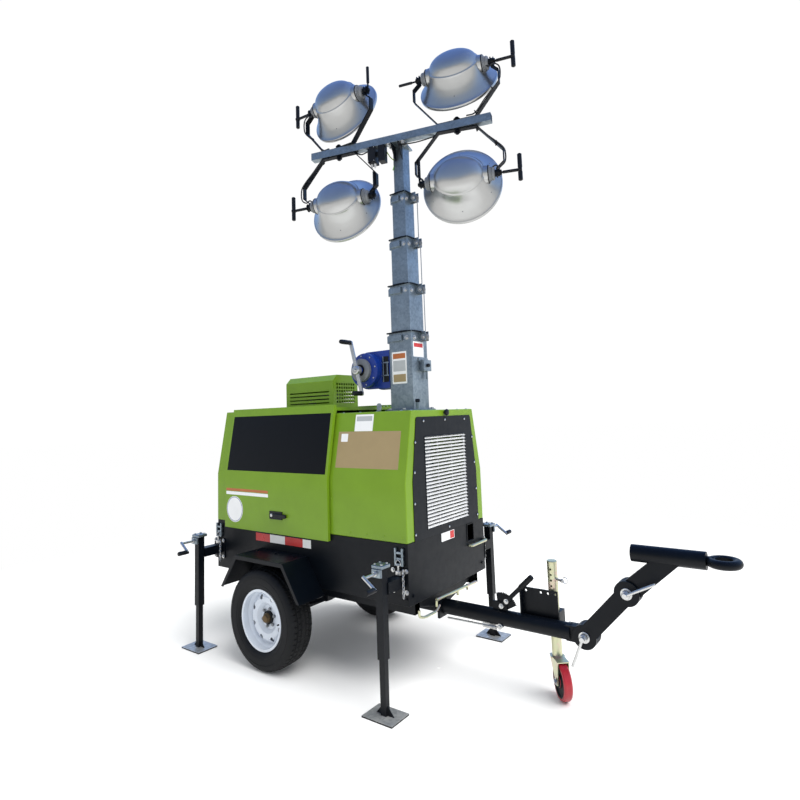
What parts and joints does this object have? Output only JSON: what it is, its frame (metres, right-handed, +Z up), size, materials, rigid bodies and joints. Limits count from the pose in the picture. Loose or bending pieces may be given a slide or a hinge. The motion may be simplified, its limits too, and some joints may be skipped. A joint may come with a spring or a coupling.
{
  "type": "mobile light tower",
  "caption": "Towed light tower: louvred generator canopy on a one-axle base with outrigger jacks, a telescopic square mast and a bar of spun floodlights.",
  "frame": {"origin": "on the ground under the middle of the whole outline", "axes": "+X towards the drawbar, +Y the trailer's left, +Z up"},
  "size_m": [3.3606, 1.644, 4.018],
  "materials": {
    "lime_paint": "gloss lime-green powder coat",
    "black_paint": "satin black paint",
    "panel_black": "satin black powder coat",
    "slat_aluminium": "satin",
    "engine_grey": "dull",
    "spring_steel": "dull black",
    "galvanised": "hot-dip galvanised",
    "winch_blue": "gloss royal blue",
    "zinc_plate": "bright zinc",
    "box_plastic": "matt black",
    "yellow_zinc": "yellow zinc plate",
    "red_wheel": "polyurethane tread",
    "tyre_rubber": "black rubber",
    "rim_paint": "off-white wheel enamel",
    "latch_plastic": "black",
    "yoke_black": "black paint",
    "spun_aluminium": "spun satin",
    "lamp_glass": "clear glass",
    "jack_black": "satin black paint"
  },
  "bodies": {
    "trailer": {"base_frame": "black_paint", "axle": "black_paint", "leaf_springs": "spring_steel", "canopy_rear": "lime_paint", "canopy_front": "lime_paint", "front_panel": "panel_black", "grille": "slat_aluminium", "exhaust_guard": "lime_paint", "engine_block": "engine_grey", "generator_block": "engine_grey", "fender_right": "black_paint", "fender_left": "black_paint", "drawbar": "black_paint", "brake_lever": "black_paint"},
    "wheel_right": {"tyre_right": "tyre_rubber", "rim_right": "rim_paint"},
    "wheel_left": {"tyre_left": "tyre_rubber", "rim_left": "rim_paint"},
    "door_right": {"door_right": "lime_paint", "door_latch_right": "latch_plastic"},
    "door_left": {"door_left": "lime_paint", "door_latch_left": "latch_plastic"},
    "mast": {"mast_base": "galvanised", "winch": "winch_blue", "winch_crank": "zinc_plate"},
    "mast_stage_1": {"mast_stage_1": "galvanised"},
    "mast_stage_2": {"mast_stage_2": "galvanised"},
    "mast_stage_3": {"mast_stage_3": "galvanised"},
    "mast_head": {"mast_stage_4": "galvanised", "light_bar": "galvanised", "junction_box": "box_plastic"},
    "yoke_upper_front": {"yoke_upper_front": "yoke_black"},
    "lamp_upper_front": {"reflector_upper_front": "spun_aluminium", "glass_upper_front": "lamp_glass"},
    "yoke_upper_rear": {"yoke_upper_rear": "yoke_black"},
    "lamp_upper_rear": {"reflector_upper_rear": "spun_aluminium", "glass_upper_rear": "lamp_glass"},
    "yoke_lower_front": {"yoke_lower_front": "yoke_black"},
    "lamp_lower_front": {"reflector_lower_front": "spun_aluminium", "glass_lower_front": "lamp_glass"},
    "yoke_lower_rear": {"yoke_lower_rear": "yoke_black"},
    "lamp_lower_rear": {"reflector_lower_rear": "spun_aluminium", "glass_lower_rear": "lamp_glass"},
    "jack_front_right": {"jack_front_right": "jack_black"},
    "leg_front_right": {"jack_leg_front_right": "jack_black"},
    "jack_front_left": {"jack_front_left": "jack_black"},
    "leg_front_left": {"jack_leg_front_left": "jack_black"},
    "jack_rear_right": {"jack_rear_right": "jack_black"},
    "leg_rear_right": {"jack_leg_rear_right": "jack_black"},
    "jack_rear_left": {"jack_rear_left": "jack_black"},
    "leg_rear_left": {"jack_leg_rear_left": "jack_black"},
    "drawbar_link": {"drawbar_link": "black_paint"},
    "coupling": {"coupling": "black_paint"},
    "jockey_tube": {"jockey_tube": "yellow_zinc"},
    "jockey_fork": {"jockey_fork": "yellow_zinc"},
    "jockey_wheel": {"jockey_wheel": "red_wheel"}
  },
  "joints": [
    {"name": "wheel_right_spin", "type": "hinge", "parent": "trailer", "child": "wheel_right", "pos_m": [-0.906, -0.556, 0.308], "axis": [0, 1, 0], "continuous": true},
    {"name": "wheel_left_spin", "type": "hinge", "parent": "trailer", "child": "wheel_left", "pos_m": [-0.906, 0.556, 0.308], "axis": [0, 1, 0], "continuous": true},
    {"name": "door_right_open", "type": "hinge", "parent": "trailer", "child": "door_right", "pos_m": [-1.491, -0.372, 1.633], "axis": [-1, 0, 0], "range_deg": [0, 78]},
    {"name": "door_left_open", "type": "hinge", "parent": "trailer", "child": "door_left", "pos_m": [-1.491, 0.372, 1.633], "axis": [1, 0, 0], "range_deg": [0, 78]},
    {"name": "mast_turn", "type": "hinge", "parent": "trailer", "child": "mast", "pos_m": [-0.143, 0, 1.585], "axis": [0, 0, 1], "range_deg": [-175, 175]},
    {"name": "mast_stage_1_raise", "type": "slide", "parent": "mast", "child": "mast_stage_1", "axis": [0, 0, 1], "range_m": [-0.15, 0.95]},
    {"name": "mast_stage_2_raise", "type": "slide", "parent": "mast_stage_1", "child": "mast_stage_2", "axis": [0, 0, 1], "range_m": [-0.15, 0.95]},
    {"name": "mast_stage_3_raise", "type": "slide", "parent": "mast_stage_2", "child": "mast_stage_3", "axis": [0, 0, 1], "range_m": [-0.15, 0.95]},
    {"name": "mast_stage_4_raise", "type": "slide", "parent": "mast_stage_3", "child": "mast_head", "axis": [0, 0, 1], "range_m": [-0.15, 0.95]},
    {"name": "yoke_upper_front_swivel", "type": "hinge", "parent": "mast_head", "child": "yoke_upper_front", "pos_m": [0.2879, 0.03781, 3.43], "axis": [0, 0, 1], "range_deg": [-20, 20]},
    {"name": "lamp_upper_front_tilt", "type": "hinge", "parent": "yoke_upper_front", "child": "lamp_upper_front", "pos_m": [0.2879, 0.03781, 3.806], "axis": [0.9659, 0.2588, 0], "range_deg": [-45, 60]},
    {"name": "yoke_upper_rear_swivel", "type": "hinge", "parent": "mast_head", "child": "yoke_upper_rear", "pos_m": [-0.55053, -0.18684, 3.43], "axis": [0, 0, 1], "range_deg": [-20, 20]},
    {"name": "lamp_upper_rear_tilt", "type": "hinge", "parent": "yoke_upper_rear", "child": "lamp_upper_rear", "pos_m": [-0.55053, -0.18684, 3.806], "axis": [0.9976, 0.0698, 0], "range_deg": [-45, 60]},
    {"name": "yoke_lower_front_swivel", "type": "hinge", "parent": "mast_head", "child": "yoke_lower_front", "pos_m": [0.2879, 0.03781, 3.43], "axis": [0, 0, 1], "range_deg": [-20, 20]},
    {"name": "lamp_lower_front_tilt", "type": "hinge", "parent": "yoke_lower_front", "child": "lamp_lower_front", "pos_m": [0.2879, 0.03781, 3.068], "axis": [0.9397, 0.342, 0], "range_deg": [-70, 30]},
    {"name": "yoke_lower_rear_swivel", "type": "hinge", "parent": "mast_head", "child": "yoke_lower_rear", "pos_m": [-0.55053, -0.18684, 3.43], "axis": [0, 0, 1], "range_deg": [-20, 20]},
    {"name": "lamp_lower_rear_tilt", "type": "hinge", "parent": "yoke_lower_rear", "child": "lamp_lower_rear", "pos_m": [-0.55053, -0.18684, 3.068], "axis": [0.9703, 0.2419, 0], "range_deg": [-70, 30]},
    {"name": "jack_front_right_reach", "type": "slide", "parent": "trailer", "child": "jack_front_right", "axis": [0, -1, 0], "range_m": [-0.1, 0.2]},
    {"name": "leg_front_right_raise", "type": "slide", "parent": "jack_front_right", "child": "leg_front_right", "axis": [0, 0, 1], "range_m": [-0.12, 0.2]},
    {"name": "jack_front_left_reach", "type": "slide", "parent": "trailer", "child": "jack_front_left", "axis": [0, 1, 0], "range_m": [-0.1, 0.2]},
    {"name": "leg_front_left_raise", "type": "slide", "parent": "jack_front_left", "child": "leg_front_left", "axis": [0, 0, 1], "range_m": [-0.12, 0.2]},
    {"name": "jack_rear_right_reach", "type": "slide", "parent": "trailer", "child": "jack_rear_right", "axis": [0, -1, 0], "range_m": [-0.1, 0.2]},
    {"name": "leg_rear_right_raise", "type": "slide", "parent": "jack_rear_right", "child": "leg_rear_right", "axis": [0, 0, 1], "range_m": [-0.12, 0.2]},
    {"name": "jack_rear_left_reach", "type": "slide", "parent": "trailer", "child": "jack_rear_left", "axis": [0, 1, 0], "range_m": [-0.1, 0.2]},
    {"name": "leg_rear_left_raise", "type": "slide", "parent": "jack_rear_left", "child": "leg_rear_left", "axis": [0, 0, 1], "range_m": [-0.12, 0.2]},
    {"name": "drawbar_low_pivot", "type": "hinge", "parent": "trailer", "child": "drawbar_link", "pos_m": [0.938, 0, 0.38], "axis": [0, 1, 0], "range_deg": [-12, 35]},
    {"name": "drawbar_high_pivot", "type": "hinge", "parent": "drawbar_link", "child": "coupling", "pos_m": [1.165, 0, 0.632], "axis": [0, 1, 0], "range_deg": [-25, 25]},
    {"name": "jockey_raise", "type": "slide", "parent": "trailer", "child": "jockey_tube", "axis": [0, 0, 1], "range_m": [-0.15, 0.1]},
    {"name": "jockey_swivel", "type": "hinge", "parent": "jockey_tube", "child": "jockey_fork", "pos_m": [0.736, 0.082, 0.206], "axis": [0, 0, 1], "continuous": true},
    {"name": "jockey_wheel_spin", "type": "hinge", "parent": "jockey_fork", "child": "jockey_wheel", "pos_m": [0.77585, 0.03451, 0.0975], "axis": [0.766, 0.6428, 0], "continuous": true}
  ],
  "couplings": [
    {"joint": "mast_stage_2_raise", "follows": "mast_stage_1_raise", "ratio": 1},
    {"joint": "mast_stage_3_raise", "follows": "mast_stage_1_raise", "ratio": 1},
    {"joint": "mast_stage_4_raise", "follows": "mast_stage_1_raise", "ratio": 1}
  ]
}
